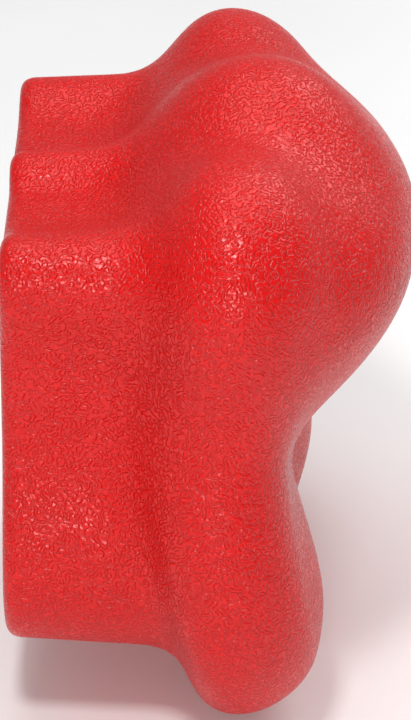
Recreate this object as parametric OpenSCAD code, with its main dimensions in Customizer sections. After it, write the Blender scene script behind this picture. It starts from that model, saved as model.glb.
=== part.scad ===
// Wall-mounted half-torso grappling dummy: a leather-grained moulded skin over a foam
// body, on a plywood board with a steel mounting plate and a spine tube.
// Origin: centre of the flat back face. +X points forward to the head, +Y to the
// dummy's left, +Z up.

/* [Stem outline] */
// Sideways distance of each shoulder corner from the middle
shoulder_y = 148; // [142:1:154]
// Height of the shoulder corners
shoulder_z = 153; // [147:1:159]
// Corner radius of the shoulders
shoulder_r = 16; // [13:1:22]
// Sideways distance of each hip centre from the middle
hip_y = 111; // [105:1:117]
// Height of the hip centres
hip_z = -101; // [-107:1:-95]
// Radius of the hips
hip_r = 68; // [62:1:74]
// Height of the neck's centre
neck_z = 156; // [150:1:162]
// Radius of the neck
neck_r = 25; // [22:1:31]
// Half width of the trunk
trunk_y = 167; // [161:1:173]
// Top of the trunk
trunk_top = 165; // [159:1:171]
// Bottom of the trunk
trunk_bottom = -135; // [-141:1:-129]

/* [Body rim] */
// Distance of the shoulder lobes' centres from the back
rim_shoulder_x = 172; // [166:1:178]
// Radius of the shoulder lobes
rim_shoulder_r = 46; // [40:1:52]
// Distance of the hip lobes' centres from the back
rim_hip_x = 199; // [193:1:205]
// Radius of the hip lobes
rim_hip_r = 45; // [39:1:51]
// Distance of the waist rim's centre from the back
rim_waist_x = 155; // [149:1:161]
// Radius of the waist rim
rim_waist_r = 52; // [46:1:58]
// Radius of the neck lobe
rim_neck_r = 40; // [34:1:46]

/* [Head and chest] */
// Distance of the head's centre from the back
head_x = 194; // [188:1:200]
// Height of the head's centre
head_z = 133; // [127:1:139]
// Forward reach of the head beyond its centre
head_rx = 84; // [78:1:90]
// Half width of the head
head_ry = 84; // [78:1:90]
// Half height of the head
head_rz = 117; // [111:1:123]
// Distance of the chest bulge's centre from the back
chest_x = 216; // [210:1:222]
// Height of the chest bulge's centre
chest_z = 130; // [124:1:136]
// Forward reach of the chest bulge beyond its centre
chest_rx = 91; // [85:1:97]
// Half width of the chest bulge
chest_ry = 168; // [162:1:174]
// Half height of the chest bulge
chest_rz = 64; // [58:1:70]
// Distance of the yoke's axis from the back
yoke_x = 174; // [168:1:180]
// Height of the yoke's axis
yoke_z = 87; // [81:1:93]
// Radius of the yoke
yoke_r = 87; // [81:1:93]
// Half length of the yoke's axis
yoke_half = 71; // [65:1:77]

/* [Skin and foam] */
// Thickness of the moulded skin
skin_t = 3; // [2.5:0.5:4]
// Width of the lip that folds behind the board
lip_w = 26; // [20:1:32]
// Slip gap between skin and foam
foam_gap = 0.4; // [0.3:0.1:1]

/* [Board and plate] */
// Thickness of the plywood board
board_t = 18; // [15:1:21]
// Width of the steel plate
plate_w = 140; // [130:2:150]
// Height of the steel plate
plate_h = 180; // [170:2:190]
// Sideways spacing of the mounting bolts
bolt_pitch_y = 100; // [90:2:104]
// Vertical spacing of the mounting bolts
bolt_pitch_z = 120; // [116:2:130]
// Radius of the tapped mounting holes
bolt_r = 4.25; // [3.4:0.05:5]

/* [Spine] */
// Outer diameter of the spine tube
spine_d = 48; // [42:1:54]
// Wall thickness of the spine tube
spine_wall = 3; // [2:0.5:4]
// Height of the spine tube's axis
spine_z = 0; // [-6:1:6]
// Diameter of the spreader disc
spreader_d = 120; // [100:2:130]

/* [Hidden] */

// Blends between the outline's shapes, and between stem, rim, yoke, chest and head
outline_blend = 58;
hip_blend = 82;
neck_blend = 17;
rim_blend = 47;
yoke_blend = 55;
chest_blend = 92;
head_blend = 44;
edge_blend = 12.5;
front_blend = 24;
trunk_corner_r = 47;
// Outward growth of the stem per millimetre of depth
stem_flare = 0.05;
// Where the rim's lobes swell, and how far each swelling spreads
lobe_spread = 98;
hip_lobe = [144, -135];
groin_lobe = [0, -118];
rim_groin_r = 51;
lobe_offset = [16, 8];
neck_lobe_rise = 32;

// Mesh density of the moulded shapes
around = 56;
front_rings = 20;
edge_steps = [0.4, 1.6, 4, 8, 13];
stem_steps = [22, 60, 98, 114, 126, 136, 145, 154, 163, 172];
sweep_x = 180;
reach = 340;
halvings = 14;

// Plate, nut and screw sizes
plate_t = skin_t;
plate_corner_r = 12;
nut_af = 17;
nut_h = 8;
nut_clear_r = 11;
screw_r = 2;
screw_head_r = 4.2;
screw_head_h = 2.4;
screw_len = 16;
screw_edge = 9;
plug_t = 2;
plug_stem = 10;
spreader_t = 4;
spine_front = 180;
board_gap = 0.5;
staples = 28;
staple_crown = 10;
staple_leg = 11;
staple_wire = 1.2;

skin_red = [0.86, 0.18, 0.18];
foam_cream = [0.93, 0.88, 0.72];
steel = [0.62, 0.63, 0.65];
ply_tan = [0.78, 0.62, 0.42];

// ---- Distance functions of the moulded shape ----

function smin(a, b, k) =
    let (h = max(k - abs(a - b), 0) / k)
    min(a, b) - h * h * k / 4;

function smax(a, b, k) = -smin(-a, -b, k);

function circle_d(y, z, cy, cz, r) = norm([y - cy, z - cz]) - r;

function trunk_d(y, z) =
    let (
        mid = (trunk_top + trunk_bottom) / 2,
        qy = abs(y) - trunk_y + trunk_corner_r,
        qz = abs(z - mid) - (trunk_top - trunk_bottom) / 2 + trunk_corner_r
    )
    norm([max(qy, 0), max(qz, 0)]) + min(max(qy, qz), 0) - trunk_corner_r;

// Signed distance to the stem's outline in the YZ plane
function outline_d(y, z) =
    let (
        trunk = trunk_d(y, z),
        shoulders = smin(trunk, circle_d(y, z, shoulder_y, shoulder_z, shoulder_r), outline_blend),
        hips = smin(shoulders, circle_d(y, z, hip_y, hip_z, hip_r), hip_blend)
    )
    smin(hips, circle_d(y, z, 0, neck_z, neck_r), neck_blend);

function ellipsoid_d(p, c, r) =
    let (
        q = p - c,
        k0 = norm([q.x / r.x, q.y / r.y, q.z / r.z]),
        k1 = norm([q.x / (r.x * r.x), q.y / (r.y * r.y), q.z / (r.z * r.z)])
    )
    k0 * (k0 - 1) / max(k1, 0.000001);

// Swelling of 1 at a lobe's centre that fades to 0 around it
function swell(y, z, cy, cz) =
    exp(-((y - cy) * (y - cy) + (z - cz) * (z - cz)) / (lobe_spread * lobe_spread));

// The padded rim: a rounded edge that follows the stem's outline
function rim_d(x, y, z, d) =
    let (
        hip = swell(y, z, hip_lobe[0], hip_lobe[1]),
        shoulder = swell(y, z, shoulder_y + lobe_offset[0], shoulder_z + lobe_offset[1]),
        neck = swell(y, z, 0, neck_z + neck_lobe_rise),
        groin = swell(y, z, groin_lobe[0], groin_lobe[1]),
        r = rim_waist_r + (rim_hip_r - rim_waist_r) * hip
            + (rim_shoulder_r - rim_waist_r) * shoulder
            + (rim_neck_r - rim_waist_r) * neck
            + (rim_groin_r - rim_waist_r) * groin,
        cx = rim_waist_x + (rim_hip_x - rim_waist_x) * hip
            + (rim_shoulder_x - rim_waist_x) * (shoulder + neck)
    )
    norm([smax(d, 0, 8), x - cx]) - r;

// A bar with round ends across the chest, from side to side
function yoke_d(x, y, z) = norm([x - yoke_x, max(y - yoke_half, 0), z - yoke_z]) - yoke_r;

// Signed distance to the whole moulded body
function body_d(p) =
    let (
        x = p.x,
        y = abs(p.y),
        z = p.z,
        d = outline_d(y, z) - stem_flare * (x - 80),
        stem = smax(smax(d, -x, edge_blend), x - rim_waist_x, front_blend),
        torso = smin(rim_d(x, y, z, d), stem, rim_blend),
        yoked = smin(torso, yoke_d(x, y, z), yoke_blend),
        chest = ellipsoid_d(p, [chest_x, 0, chest_z], [chest_rx, chest_ry, chest_rz]),
        head = ellipsoid_d(p, [head_x, 0, head_z], [head_rx, head_ry, head_rz])
    )
    smin(smin(yoked, chest, chest_blend), head, head_blend);

// ---- Points on the body, found by halving along rays ----

function crossing(o, dir, level, lo, hi, n) =
    n == 0 ? o + dir * (lo + hi) / 2 :
    let (mid = (lo + hi) / 2)
    body_d(o + dir * mid) < level
        ? crossing(o, dir, level, mid, hi, n - 1)
        : crossing(o, dir, level, lo, mid, n - 1);

function turn(j) = 360 * j / around;

// Ring of points where the body's cross-section at x meets a level
function section(x, level) = [
    for (j = [0:around - 1])
        crossing([x, 0, 0], [0, sin(turn(j)), cos(turn(j))], level, 0, reach, halvings)
];

function section_xy(x, level) = [for (p = section(x, level)) [p.y, p.z]];

// Ring of points on the front, swept from the sides (a = 0) to straight ahead (a = 90)
function front_ring(i, level) =
    let (
        a = 90 * pow(i / front_rings, 1.25),
        o = [sweep_x, 0, head_z * i / front_rings]
    )
    [
        for (j = [0:around - 1])
            crossing(o, [sin(a), cos(a) * sin(turn(j)), cos(a) * cos(turn(j))],
                level, 0, reach, halvings)
    ];

function front_pole(level) =
    crossing([sweep_x, 0, head_z], [1, 0, 0], level, 0, reach, halvings);

// Distance from the middle to the stem's outline, in the direction a, for a flat cut
function outline_reach(x, inset, a, lo, hi, n) =
    n == 0 ? (lo + hi) / 2 :
    let (mid = (lo + hi) / 2)
    outline_d(abs(mid * sin(a)), mid * cos(a)) - stem_flare * (x - 80) < -inset
        ? outline_reach(x, inset, a, mid, hi, n - 1)
        : outline_reach(x, inset, a, lo, mid, n - 1);

function flat_ring(x, inset) = [
    for (j = [0:around - 1])
        let (a = turn(j), r = outline_reach(x, inset, a, 0, reach, halvings))
        [x, r * sin(a), r * cos(a)]
];

function circle_ring(x, r) = [
    for (j = [0:around - 1]) [x, r * sin(turn(j)), spine_z + r * cos(turn(j))]
];

function front_to_stem(level) = concat(
    [for (i = [front_rings - 1:-1:1]) front_ring(i, level)],
    [section(sweep_x, level)],
    [for (i = [len(stem_steps) - 1:-1:0]) section(stem_steps[i], level)]
);

// Closed solid through a list of rings, with a point at each end
module ring_solid(first, rings, last) {
    n = len(rings);
    last_start = 1 + (n - 1) * around;
    end_point = 1 + n * around;
    points = concat([first], [for (ring = rings) each ring], [last]);
    faces = concat(
        [for (j = [0:around - 1]) [0, 1 + j, 1 + (j + 1) % around]],
        [
            for (i = [0:n - 2], j = [0:around - 1])
                let (a = 1 + i * around, k = (j + 1) % around)
                each [
                    [a + j, a + around + j, a + around + k],
                    [a + j, a + around + k, a + k]
                ]
        ],
        [
            for (j = [0:around - 1])
                [end_point, last_start + (j + 1) % around, last_start + j]
        ]
    );
    polyhedron(points, faces);
}

// ---- Moulded parts ----

module outer_skin() {
    outside = concat(
        front_to_stem(0),
        [for (i = [len(edge_steps) - 1:-1:0]) section(edge_steps[i], 0)],
        [flat_ring(0, edge_blend), flat_ring(0, lip_w)]
    );
    inside = concat(
        [flat_ring(skin_t, lip_w), flat_ring(skin_t, edge_blend + skin_t)],
        [for (step = edge_steps) section(skin_t + step, -skin_t)],
        [for (x = stem_steps) section(x, -skin_t)],
        [section(sweep_x, -skin_t)],
        [for (i = [1:front_rings - 1]) front_ring(i, -skin_t)]
    );
    color(skin_red)
    ring_solid(front_pole(0), concat(outside, inside), front_pole(-skin_t));
}

module foam_body() {
    level = -skin_t - foam_gap;
    back_x = skin_t + board_t;
    spine_hole = spine_d / 2 + board_gap;
    spreader_hole = spreader_d / 2 + board_gap;
    color(foam_cream)
    ring_solid(
        front_pole(level),
        concat(
            front_to_stem(level),
            [section(back_x, level)],
            [
                circle_ring(back_x, spine_hole),
                circle_ring(spine_front - board_gap, spine_hole),
                circle_ring(spine_front - board_gap, spreader_hole),
                circle_ring(spine_front + spreader_t + board_gap, spreader_hole)
            ]
        ),
        [spine_front + spreader_t + board_gap, 0, spine_z]
    );
}

// ---- Board, plate and fasteners ----

// Lies a flat outline in the YZ plane and extrudes it along +X from x
module slab(x, t) {
    translate([x, 0, 0])
    multmatrix([[0, 0, 1, 0], [1, 0, 0, 0], [0, 1, 0, 0], [0, 0, 0, 1]])
    linear_extrude(t)
    children();
}

module x_cylinder(x, y, z, r, h) {
    translate([x, y, z])
    rotate([0, 90, 0])
    cylinder(r = r, h = h, $fn = 48);
}

module at_bolts() {
    for (y = [-bolt_pitch_y / 2, bolt_pitch_y / 2], z = [-bolt_pitch_z / 2, bolt_pitch_z / 2])
        translate([0, y, z])
        children();
}

module at_screws() {
    edge_y = plate_w / 2 - screw_edge;
    edge_z = plate_h / 2 - screw_edge;
    for (y = [-edge_y, 0, edge_y], z = [-edge_z, 0, edge_z])
        if (y != 0 || z != 0)
            translate([0, y, z])
            children();
}

module back_board() {
    steps = [0, 2, 5, 10, board_t];
    color(ply_tan)
    difference() {
        for (i = [0:len(steps) - 2])
            slab(skin_t + steps[i], steps[i + 1] - steps[i])
            polygon(section_xy(skin_t + max(steps[i], 0.5), -skin_t - board_gap));
        x_cylinder(skin_t - 1, 0, spine_z, spine_d / 2 + board_gap, board_t + 2);
        at_bolts() x_cylinder(skin_t - 1, 0, 0, nut_clear_r, nut_h + 2);
        at_screws() x_cylinder(skin_t - 1, 0, 0, screw_r, screw_len);
    }
}

module mounting_plate() {
    color(steel)
    difference() {
        slab(0, plate_t)
        hull()
        for (y = [-1, 1], z = [-1, 1])
            translate([y * (plate_w / 2 - plate_corner_r), z * (plate_h / 2 - plate_corner_r)])
            circle(r = plate_corner_r, $fn = 32);
        x_cylinder(-1, 0, spine_z, spine_d / 2 - spine_wall, plate_t + 2);
        at_bolts() x_cylinder(-1, 0, 0, bolt_r, plate_t + 2);
        at_screws() {
            x_cylinder(-1, 0, 0, screw_head_r, 1 + screw_head_h);
            x_cylinder(-1, 0, 0, screw_r, plate_t + 2);
        }
    }
}

module weld_nuts() {
    color(steel)
    at_bolts()
    difference() {
        translate([plate_t, 0, 0])
        rotate([0, 90, 0])
        cylinder(r = nut_af / sqrt(3), h = nut_h, $fn = 6);
        x_cylinder(plate_t - 1, 0, 0, bolt_r, nut_h + 2);
    }
}

module plate_screws() {
    color(steel)
    at_screws() {
        x_cylinder(0, 0, 0, screw_head_r, screw_head_h);
        x_cylinder(screw_head_h, 0, 0, screw_r, screw_len - screw_head_h);
    }
}

module spine_tube() {
    color(steel)
    difference() {
        x_cylinder(plate_t, 0, spine_z, spine_d / 2, spine_front - plate_t);
        x_cylinder(plate_t - 1, 0, spine_z, spine_d / 2 - spine_wall, spine_front);
    }
}

module spreader_disc() {
    color(steel)
    x_cylinder(spine_front, 0, spine_z, spreader_d / 2, spreader_t);
}

module pour_plug() {
    color("black")
    x_cylinder(0, 0, spine_z, spine_d / 2 - spine_wall, plug_t + plug_stem);
}

module lip_staples() {
    lip_mid = [for (p = flat_ring(0, (lip_w + edge_blend) / 2)) [p.y, p.z]];
    color(steel)
    for (i = [0:staples - 1]) {
        p = lip_mid[floor(i * around / staples)];
        translate([0, p[0], p[1]])
        rotate([atan2(-p[0], p[1]), 0, 0]) {
            translate([0, -staple_crown / 2, 0])
            cube([staple_wire, staple_crown, staple_wire]);
            for (side = [0, 1])
                translate([0, side * (staple_crown - staple_wire) - staple_crown / 2, 0])
                cube([staple_leg, staple_wire, staple_wire]);
        }
    }
}

outer_skin();
foam_body();
back_board();
mounting_plate();
weld_nuts();
plate_screws();
spine_tube();
spreader_disc();
pour_plug();
lip_staples();
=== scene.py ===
# Looks for the wall-mounted grappling dummy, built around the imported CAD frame.
# Lengths of the moulded shape are in millimetres, as in the part's source; the scene is in metres.
import math

import bpy
import numpy as np
from mathutils import Matrix, Vector


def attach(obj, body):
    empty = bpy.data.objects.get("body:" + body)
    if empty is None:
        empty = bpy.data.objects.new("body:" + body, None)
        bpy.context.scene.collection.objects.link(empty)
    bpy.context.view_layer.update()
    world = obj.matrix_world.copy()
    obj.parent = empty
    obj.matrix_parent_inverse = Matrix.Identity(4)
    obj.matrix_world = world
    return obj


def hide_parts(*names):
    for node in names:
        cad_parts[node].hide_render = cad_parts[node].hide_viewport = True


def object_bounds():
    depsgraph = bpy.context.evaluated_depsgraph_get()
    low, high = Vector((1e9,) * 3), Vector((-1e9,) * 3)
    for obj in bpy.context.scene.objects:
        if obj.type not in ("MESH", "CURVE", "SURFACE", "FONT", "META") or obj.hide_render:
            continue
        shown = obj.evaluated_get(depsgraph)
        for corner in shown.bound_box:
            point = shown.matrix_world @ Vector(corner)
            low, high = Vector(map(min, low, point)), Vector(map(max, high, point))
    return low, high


MM = 0.001

# ---- Moulded shape, with the same shape values as the part's source ----

shoulder_y, shoulder_z, shoulder_r = 148, 153, 16
hip_y, hip_z, hip_r = 111, -101, 68
neck_z, neck_r = 156, 25
trunk_y, trunk_top, trunk_bottom, trunk_corner_r = 167, 165, -135, 47
outline_blend, hip_blend, neck_blend = 58, 82, 17
rim_shoulder_x, rim_shoulder_r = 172, 46
rim_hip_x, rim_hip_r = 199, 45
rim_waist_x, rim_waist_r = 155, 52
rim_neck_r, rim_groin_r = 40, 51
lobe_spread = 98
hip_lobe, groin_lobe, lobe_offset, neck_lobe_rise = (144, -135), (0, -118), (16, 8), 32
yoke_x, yoke_z, yoke_r, yoke_half = 174, 87, 87, 71
chest_x, chest_z, chest_radii = 216, 130, (91, 168, 64)
head_x, head_z, head_radii = 194, 133, (84, 84, 117)
rim_blend, yoke_blend, chest_blend, head_blend = 47, 55, 92, 44
edge_blend, front_blend, stem_flare = 12.5, 24, 0.05
skin_t, lip_w, foam_gap, board_t = 3, 26, 0.4, 18
spine_d, spreader_d, spreader_t, spine_front, board_gap = 48, 120, 4, 180, 0.5

# Depth where the stem's growth is zero, and how softly the rim closes over the outline
flare_from, rim_soften = 80, 8
# Where the front rings start, how they crowd, and the search that finds the surface along a ray
sweep_x, front_crowding, reach, halvings = 180, 1.25, 340, 20
# The back edge's depth with its own closer sections, how they crowd, and the first one's depth
edge_depth, edge_crowding, edge_first = 16, 1.6, 0.05
edge_steps, inner_from, inner_sections, inner_front_rings, lip_rings = (0.4, 1.6, 4, 8, 13), 22, 24, 40, 6


# ---- Camera: the near side, from above, with the back face edge-on ----

CAM_ELEVATION, CAM_AZIMUTH, CAM_ROLL = 29.0, -0.41, 0.87
CAM_DISTANCE = 2.369
CAM_AIM = Vector((0.1514, 0, 0))
CAM_LENS, CAM_SENSOR = 149.95, 36


def make_camera():
    e, a, roll = map(math.radians, (CAM_ELEVATION, CAM_AZIMUTH, CAM_ROLL))
    forward = Vector((-math.sin(a) * math.cos(e), math.cos(a) * math.cos(e), -math.sin(e)))
    right = Vector((math.cos(a), math.sin(a), 0))
    up = right.cross(forward)
    x_axis = right * math.cos(roll) + up * math.sin(roll)
    y_axis = up * math.cos(roll) - right * math.sin(roll)
    turn = Matrix((x_axis, y_axis, -forward)).transposed().to_4x4()
    data = bpy.data.cameras.new("camera")
    data.sensor_width = CAM_SENSOR
    data.lens = CAM_LENS
    data.clip_start, data.clip_end = 0.05, 50
    camera = bpy.data.objects.new("camera", data)
    camera.matrix_world = Matrix.Translation(CAM_AIM - forward * CAM_DISTANCE) @ turn
    bpy.context.collection.objects.link(camera)
    bpy.context.scene.camera = camera


make_camera()
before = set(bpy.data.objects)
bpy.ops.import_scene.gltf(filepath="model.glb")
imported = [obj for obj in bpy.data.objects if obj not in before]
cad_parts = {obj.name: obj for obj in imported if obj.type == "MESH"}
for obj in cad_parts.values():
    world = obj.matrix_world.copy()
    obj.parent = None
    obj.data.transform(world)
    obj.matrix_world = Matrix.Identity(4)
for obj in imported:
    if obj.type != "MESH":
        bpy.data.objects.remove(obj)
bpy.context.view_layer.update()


# ---- Distance functions of the moulded shape ----

def smin(a, b, k):
    """Smaller of a and b, rounded where they are within k of each other."""
    h = np.maximum(k - np.abs(a - b), 0) / k
    return np.minimum(a, b) - h * h * k / 4


def smax(a, b, k):
    return -smin(-a, -b, k)


def circle_d(y, z, cy, cz, r):
    return np.hypot(y - cy, z - cz) - r


def trunk_d(y, z):
    """Rectangle with round corners."""
    mid, half = (trunk_top + trunk_bottom) / 2, (trunk_top - trunk_bottom) / 2
    qy = np.abs(y) - trunk_y + trunk_corner_r
    qz = np.abs(z - mid) - half + trunk_corner_r
    outside = np.hypot(np.maximum(qy, 0), np.maximum(qz, 0))
    return outside + np.minimum(np.maximum(qy, qz), 0) - trunk_corner_r


def outline_d(y, z):
    """The stem's outline: trunk, shoulder corner, hip and neck."""
    shoulders = smin(trunk_d(y, z), circle_d(y, z, shoulder_y, shoulder_z, shoulder_r), outline_blend)
    hips = smin(shoulders, circle_d(y, z, hip_y, hip_z, hip_r), hip_blend)
    return smin(hips, circle_d(y, z, 0, neck_z, neck_r), neck_blend)


def ellipsoid_d(x, y, z, centre, radii):
    q = (x - centre[0], y - centre[1], z - centre[2])
    k0 = np.sqrt(sum((c / r) ** 2 for c, r in zip(q, radii)))
    k1 = np.sqrt(sum((c / (r * r)) ** 2 for c, r in zip(q, radii)))
    return k0 * (k0 - 1) / np.maximum(k1, 1e-6)


def swell(y, z, cy, cz):
    """1 at a lobe's centre, falling to 0 away from it."""
    return np.exp(-((y - cy) ** 2 + (z - cz) ** 2) / lobe_spread ** 2)


def rim_d(x, y, z, d):
    """Padded rim that follows the outline distance d and swells at its lobes."""
    hip = swell(y, z, *hip_lobe)
    shoulder = swell(y, z, shoulder_y + lobe_offset[0], shoulder_z + lobe_offset[1])
    neck = swell(y, z, 0, neck_z + neck_lobe_rise)
    groin = swell(y, z, *groin_lobe)
    r = (rim_waist_r + (rim_hip_r - rim_waist_r) * hip + (rim_shoulder_r - rim_waist_r) * shoulder
         + (rim_neck_r - rim_waist_r) * neck + (rim_groin_r - rim_waist_r) * groin)
    cx = rim_waist_x + (rim_hip_x - rim_waist_x) * hip + (rim_shoulder_x - rim_waist_x) * (shoulder + neck)
    return np.hypot(smax(d, 0 * d, rim_soften), x - cx) - r


def yoke_d(x, y, z):
    """Bar with round ends, from side to side."""
    return np.sqrt((x - yoke_x) ** 2 + np.maximum(y - yoke_half, 0) ** 2 + (z - yoke_z) ** 2) - yoke_r


def stem_d(x, y, z):
    return outline_d(y, z) - stem_flare * (x - flare_from)


def body_d(p):
    """Signed distance of the whole moulded body, mirrored about its middle."""
    x, y, z = p[..., 0], np.abs(p[..., 1]), p[..., 2]
    d = stem_d(x, y, z)
    stem = smax(smax(d, -x, edge_blend), x - rim_waist_x, front_blend)
    torso = smin(rim_d(x, y, z, d), stem, rim_blend)
    yoked = smin(torso, yoke_d(x, y, z), yoke_blend)
    chest = ellipsoid_d(x, y, z, (chest_x, 0, chest_z), chest_radii)
    head = ellipsoid_d(x, y, z, (head_x, 0, head_z), head_radii)
    return smin(smin(yoked, chest, chest_blend), head, head_blend)


def crossings(origins, directions, level):
    """Where rays from inside the body reach the given distance from its surface."""
    lo = np.zeros(origins.shape[:-1])
    hi = np.full(origins.shape[:-1], float(reach))
    for _ in range(halvings):
        mid = (lo + hi) / 2
        inside = body_d(origins + directions * mid[..., None]) < level
        lo, hi = np.where(inside, mid, lo), np.where(inside, hi, mid)
    return origins + directions * ((lo + hi) / 2)[..., None]


def turns(around):
    return np.arange(around) * 2 * math.pi / around


def section(x, level, around):
    t = turns(around)
    o = np.tile(np.array([x, 0.0, 0.0]), (around, 1))
    return crossings(o, np.stack([0 * t, np.sin(t), np.cos(t)], -1), level)


def front_ring(f, level, around):
    """Ring swept from the sides (f = 0) to straight ahead (f = 1)."""
    t, a = turns(around), math.pi / 2 * f ** front_crowding
    o = np.tile(np.array([sweep_x, 0.0, head_z * f]), (around, 1))
    d = np.stack([0 * t + math.sin(a), math.cos(a) * np.sin(t), math.cos(a) * np.cos(t)], -1)
    return crossings(o, d, level)


def front_pole(level):
    return crossings(np.array([[sweep_x, 0.0, head_z]]), np.array([[1.0, 0.0, 0.0]]), level)[0]


def flat_ring(x, inset, around):
    """Ring in the plane at depth x, the given distance inside the outline."""
    t = turns(around)
    lo, hi = np.zeros(around), np.full(around, float(reach))
    for _ in range(halvings):
        mid = (lo + hi) / 2
        y, z = np.abs(mid * np.sin(t)), mid * np.cos(t)
        inside = stem_d(x, y, z) < -inset
        lo, hi = np.where(inside, mid, lo), np.where(inside, hi, mid)
    r = (lo + hi) / 2
    return np.stack([0 * t + x, r * np.sin(t), r * np.cos(t)], -1)


def circle_ring(x, r, around):
    t = turns(around)
    return np.stack([0 * t + x, r * np.sin(t), r * np.cos(t)], -1)


def ring_mesh(name, first, rings, last):
    """Closed mesh through a list of rings, with a point at each end."""
    around, n = len(rings[0]), len(rings)
    points = np.vstack([first[None], *rings, last[None]]) * MM
    j = np.arange(around)
    k = (j + 1) % around
    faces = [(0, 1 + a, 1 + b) for a, b in zip(j.tolist(), k.tolist())]
    for i in range(n - 1):
        base = 1 + i * around
        quads = np.stack([base + j, base + around + j, base + around + k, base + k], -1)
        faces += [tuple(q) for q in quads.tolist()]
    start = 1 + (n - 1) * around
    faces += [(1 + n * around, start + b, start + a) for a, b in zip(j.tolist(), k.tolist())]
    mesh = bpy.data.meshes.new(name)
    mesh.from_pydata(points.tolist(), [], faces)
    mesh.validate()
    mesh.shade_smooth()
    obj = bpy.data.objects.new(name, mesh)
    bpy.context.collection.objects.link(obj)
    return obj


def stem_places(count):
    """Distances from the back, close together at the back edge."""
    near_edge = count // 4
    edge = np.linspace(0, 1, near_edge, endpoint=False) ** edge_crowding * edge_depth + edge_first
    rest = edge_depth + (sweep_x - edge_depth) * np.linspace(0, 1, count - near_edge, endpoint=False)
    return np.concatenate([edge, rest])


def front_to_back(level, around, front, stem, back_x):
    """Rings from just behind the front point to the depth back_x."""
    rings = [front_ring(i / front, level, around) for i in range(front - 1, 0, -1)]
    rings.append(section(sweep_x, level, around))
    rings += [section(x, level, around) for x in stem_places(stem)[::-1] if x > back_x]
    return rings


# ---- Materials ----

def new_material(name):
    m = bpy.data.materials.new(name)
    m.use_nodes = True
    return m, m.node_tree.nodes, m.node_tree.links, m.node_tree.nodes["Principled BSDF"]


def math_node(nodes, links, op, a, b):
    n = nodes.new("ShaderNodeMath")
    n.operation = op
    for socket, value in zip(n.inputs, (a, b)):
        if isinstance(value, (int, float)):
            socket.default_value = value
        else:
            links.new(value, socket)
    return n.outputs[0]


def ramp_node(nodes, links, fac, stops):
    n = nodes.new("ShaderNodeValToRGB")
    n.color_ramp.elements[0].position, n.color_ramp.elements[0].color = stops[0][0], (*stops[0][1], 1)
    n.color_ramp.elements[1].position, n.color_ramp.elements[1].color = stops[-1][0], (*stops[-1][1], 1)
    for position, colour in stops[1:-1]:
        n.color_ramp.elements.new(position).color = (*colour, 1)
    links.new(fac, n.inputs["Fac"])
    return n.outputs["Color"]


def noise_node(nodes, links, coords, scale, detail=2.0, roughness=0.5, distortion=0.0):
    n = nodes.new("ShaderNodeTexNoise")
    n.inputs["Scale"].default_value = scale
    n.inputs["Detail"].default_value = detail
    n.inputs["Roughness"].default_value = roughness
    n.inputs["Distortion"].default_value = distortion
    links.new(coords, n.inputs["Vector"])
    return n.outputs["Fac"]


def object_coords(nodes):
    return nodes.new("ShaderNodeTexCoord").outputs["Object"]


def stretched(nodes, links, coords, scale):
    mapping = nodes.new("ShaderNodeMapping")
    mapping.inputs["Scale"].default_value = scale
    links.new(coords, mapping.inputs["Vector"])
    return mapping.outputs["Vector"]


def add_bump(nodes, links, shader, height, depth):
    """Bumps the material's normal by a height map, depth in metres."""
    bump = nodes.new("ShaderNodeBump")
    bump.inputs["Strength"].default_value = 1.0
    bump.inputs["Distance"].default_value = depth
    links.new(height, bump.inputs["Height"])
    links.new(bump.outputs["Normal"], shader.inputs["Normal"])


# Skin grain: how many features a metre each layer has, and how much it adds to the height; the tone values
# set how much random tone and how much painted shade in the grain's low spots go into the colour
WARP_SCALE, WARP_REACH = 150, 0.003
PEBBLE_SCALE, PEBBLE_HEIGHT = 260, -0.55
GROOVE_SCALE, GROOVE_SHARPNESS, GROOVE_HEIGHT = 280, 7.0, 0.6
FINE_SCALE, FINE_HEIGHT = 520, 0.15
BROAD_SCALE, BROAD_TONE, GRAIN_RECESS_SHADE = 14, 0.35, 0.45
GRAIN_DEPTH = 0.0009


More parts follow.
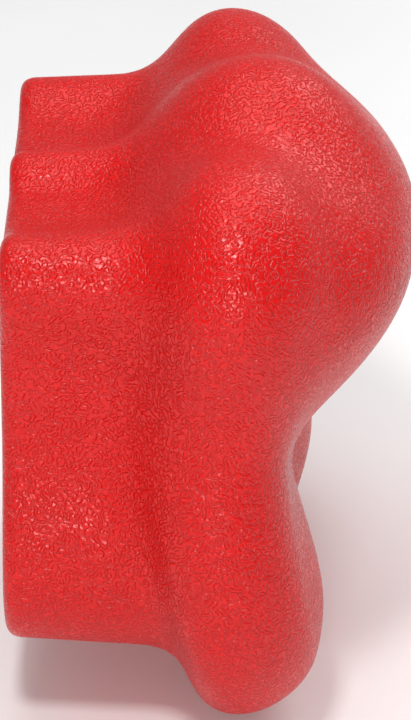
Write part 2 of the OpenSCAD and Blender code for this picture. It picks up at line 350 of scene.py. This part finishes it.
def skin_material():
    """Moulded red skin: leather-like pebble grain, semi-gloss, with painted shade darkening the grain's
    grooves and pebble edges.
    """
    m, nodes, links, shader = new_material("moulded_skin")
    coords = object_coords(nodes)
    warp = nodes.new("ShaderNodeTexNoise")
    warp.inputs["Scale"].default_value = WARP_SCALE
    warp.inputs["Detail"].default_value = 1
    links.new(coords, warp.inputs["Vector"])
    mix = nodes.new("ShaderNodeVectorMath")
    mix.operation = "MULTIPLY_ADD"
    mix.inputs[1].default_value = (WARP_REACH,) * 3
    links.new(warp.outputs["Color"], mix.inputs[0])
    links.new(coords, mix.inputs[2])
    cells = nodes.new("ShaderNodeTexVoronoi")
    cells.feature = "SMOOTH_F1"
    cells.inputs["Scale"].default_value = PEBBLE_SCALE
    cells.inputs["Smoothness"].default_value = 0.3
    links.new(mix.outputs[0], cells.inputs["Vector"])

    def maths(op, a, b):
        return math_node(nodes, links, op, a, b)

    worm = noise_node(nodes, links, mix.outputs[0], GROOVE_SCALE, 0.0, 0.5)
    centred = maths("ABSOLUTE", maths("SUBTRACT", worm, 0.5), 0.0)
    groove = maths("MINIMUM", maths("MULTIPLY", centred, GROOVE_SHARPNESS), 1.0)
    fine = noise_node(nodes, links, coords, FINE_SCALE, 2.0, 0.6)
    pebble = maths("MULTIPLY", cells.outputs["Distance"], PEBBLE_HEIGHT)
    small = maths("ADD", pebble, maths("MULTIPLY", fine, FINE_HEIGHT))
    height = maths("ADD", maths("MULTIPLY", groove, GROOVE_HEIGHT), small)
    add_bump(nodes, links, shader, height, GRAIN_DEPTH)
    broad = noise_node(nodes, links, coords, BROAD_SCALE, 3.0)
    # Colour: broad random tone, plus painted shade that darkens the grain's grooves and pebble edges by its
    # height
    random_tone_and_recess_shade = maths("ADD", maths("MULTIPLY", broad, BROAD_TONE), maths("MULTIPLY", height, GRAIN_RECESS_SHADE))
    colour = ramp_node(nodes, links, random_tone_and_recess_shade, [
        (0.0, (0.53, 0.0, 0.0)), (0.35, (0.69, 0.0, 0.0)), (0.7, (0.77, 0.001, 0.001))])
    links.new(colour, shader.inputs["Base Color"])
    rough = ramp_node(nodes, links, height, [(0.0, (0.36,) * 3), (0.6, (0.24,) * 3)])
    links.new(rough, shader.inputs["Roughness"])
    shader.inputs["Specular IOR Level"].default_value = 0.42
    return m


def foam_material():
    m, nodes, links, shader = new_material("pored_foam")
    coords = object_coords(nodes)
    pores = noise_node(nodes, links, coords, 900, 3.0, 0.6)
    colour = ramp_node(nodes, links, pores, [(0.3, (0.55, 0.47, 0.28)), (0.7, (0.80, 0.73, 0.52))])
    links.new(colour, shader.inputs["Base Color"])
    add_bump(nodes, links, shader, pores, 0.0006)
    shader.inputs["Roughness"].default_value = 0.9
    return m


def wood_material():
    m, nodes, links, shader = new_material("birch_ply")
    coords = object_coords(nodes)
    along = stretched(nodes, links, coords, (1, 14, 1.6))
    grain = noise_node(nodes, links, along, 16, 6.0, 0.6, 0.8)
    colour = ramp_node(nodes, links, grain, [
        (0.3, (0.36, 0.22, 0.11)), (0.5, (0.56, 0.39, 0.22)), (0.7, (0.66, 0.49, 0.30))])
    links.new(colour, shader.inputs["Base Color"])
    add_bump(nodes, links, shader, grain, 0.0002)
    shader.inputs["Roughness"].default_value = 0.62
    return m


def metal_material(name, colour, roughness, stretch_along, scuff):
    m, nodes, links, shader = new_material(name)
    coords = object_coords(nodes)
    brush = noise_node(nodes, links, stretched(nodes, links, coords, stretch_along), 60, 5.0, 0.7)
    blotch = noise_node(nodes, links, coords, 35, 3.0)
    dark = tuple(c * (1 - scuff) for c in colour)
    links.new(ramp_node(nodes, links, blotch, [(0.3, dark), (0.7, colour)]), shader.inputs["Base Color"])
    rough = ramp_node(nodes, links, brush, [(0.2, (roughness - 0.08,) * 3), (0.8, (roughness + 0.12,) * 3)])
    links.new(rough, shader.inputs["Roughness"])
    add_bump(nodes, links, shader, brush, 0.00005)
    shader.inputs["Metallic"].default_value = 1.0
    return m


def plastic_material():
    m, nodes, links, shader = new_material("black_plug")
    coords = object_coords(nodes)
    fine = noise_node(nodes, links, coords, 700, 2.0)
    links.new(ramp_node(nodes, links, fine, [(0.3, (0.012,) * 3), (0.7, (0.024,) * 3)]),
              shader.inputs["Base Color"])
    add_bump(nodes, links, shader, fine, 0.0002)
    shader.inputs["Roughness"].default_value = 0.5
    return m


def dress(node, material):
    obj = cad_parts[node]
    obj.data.materials.clear()
    obj.data.materials.append(material)


# ---- The moulded skin and the foam, replacing their coarse CAD solids ----

# Points around each ring, rings over the front and sections along the stem
AROUND, FRONT, STEM = ((600, 220, 170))
FOAM_AROUND, FOAM_FRONT, FOAM_STEM = 160, 48, 40


def make_skin():
    outside = front_to_back(0, AROUND, FRONT, STEM, 0)
    outside += [flat_ring(0, inset, AROUND) for inset in np.linspace(edge_blend, lip_w, lip_rings)]
    inside = [flat_ring(skin_t, lip_w, AROUND), flat_ring(skin_t, edge_blend + skin_t, AROUND)]
    inside += [section(skin_t + x, -skin_t, AROUND) for x in edge_steps]
    inside += [section(x, -skin_t, AROUND) for x in np.linspace(inner_from, sweep_x, inner_sections)]
    inside += [front_ring(i / inner_front_rings, -skin_t, AROUND) for i in range(1, inner_front_rings)]
    skin = ring_mesh("skin_moulding", front_pole(0), outside + inside, front_pole(-skin_t))
    skin.data.materials.append(skin_material())
    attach(skin, "root")
    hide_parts("outer_skin")


def make_foam():
    around, level, back_x = FOAM_AROUND, -skin_t - foam_gap, skin_t + board_t
    spine_hole, spreader_hole = spine_d / 2 + board_gap, spreader_d / 2 + board_gap
    inner_x = spine_front + spreader_t + board_gap
    rings = front_to_back(level, around, FOAM_FRONT, FOAM_STEM, back_x)
    rings.append(section(back_x, level, around))
    rings += [
        circle_ring(back_x, spine_hole, around),
        circle_ring(spine_front - board_gap, spine_hole, around),
        circle_ring(spine_front - board_gap, spreader_hole, around),
        circle_ring(inner_x, spreader_hole, around),
    ]
    foam = ring_mesh("foam_core", front_pole(level), rings, np.array([inner_x, 0.0, 0.0]))
    foam.data.materials.append(foam_material())
    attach(foam, "root")
    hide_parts("foam_body")


make_skin()
make_foam()
dress("back_board", wood_material())
dress("mounting_plate", metal_material("zinc_plate", (0.60, 0.61, 0.63), 0.38, (1, 1, 12), 0.25))
bright = metal_material("zinc_fastener", (0.66, 0.66, 0.67), 0.30, (1, 1, 1), 0.2)
for node in ("weld_nuts", "plate_screws", "lip_staples"):
    dress(node, bright)
tube = metal_material("tube_steel", (0.42, 0.42, 0.43), 0.42, (0.2, 6, 6), 0.35)
dress("spine_tube", tube)
dress("spreader_disc", tube)
dress("pour_plug", plastic_material())


# ---- Floor and studio light ----

FLOOR_HALF, FLOOR_GAP = 12, 0.0005
BODY_MIDDLE = (0.15, 0, 0)


def make_floor():
    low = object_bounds()[0].z
    mesh = bpy.data.meshes.new("floor")
    corners = [(-FLOOR_HALF, -FLOOR_HALF, 0), (FLOOR_HALF, -FLOOR_HALF, 0),
               (FLOOR_HALF, FLOOR_HALF, 0), (-FLOOR_HALF, FLOOR_HALF, 0)]
    mesh.from_pydata(corners, [], [(0, 1, 2, 3)])
    floor = bpy.data.objects.new("floor", mesh)
    floor.location.z = low - FLOOR_GAP
    bpy.context.collection.objects.link(floor)
    m, nodes, links, shader = new_material("pale_floor")
    noise = noise_node(nodes, links, object_coords(nodes), 3, 2.0)
    links.new(ramp_node(nodes, links, noise, [(0.3, (0.93,) * 3), (0.7, (0.96,) * 3)]),
              shader.inputs["Base Color"])
    shader.inputs["Roughness"].default_value = 0.9
    shader.inputs["Specular IOR Level"].default_value = 0.1
    mesh.materials.append(m)


def add_light(name, place, aim, size, power):
    """Rectangular lamp with its sides in metres and its power in watts."""
    data = bpy.data.lights.new(name, "AREA")
    data.shape = "RECTANGLE"
    data.size, data.size_y = size
    data.energy = power
    lamp = bpy.data.objects.new(name, data)
    lamp.location = place
    lamp.rotation_euler = (Vector(aim) - Vector(place)).to_track_quat("-Z", "Y").to_euler()
    bpy.context.collection.objects.link(lamp)


def make_lights():
    add_light("key", (-0.15, -1.0, 2.0), BODY_MIDDLE, (0.34, 0.34), 19)
    add_light("front", (0.0, -2.3, 0.65), BODY_MIDDLE, (0.45, 0.28), 17)
    add_light("overhead", (0.2, 0.6, 2.4), BODY_MIDDLE, (2.0, 2.0), 24)
    add_light("floor_wash", (1.6, 1.6, 1.6), (0.8, 0.8, -0.2), (1.5, 1.5), 20)
    world = bpy.data.worlds.new("world")
    world.use_nodes = True
    background = world.node_tree.nodes["Background"]
    background.inputs["Color"].default_value = (1, 1, 1, 1)
    background.inputs["Strength"].default_value = 0.33
    scene = bpy.context.scene
    scene.world = world
    scene.view_settings.view_transform = "Standard"


make_floor()
make_lights()
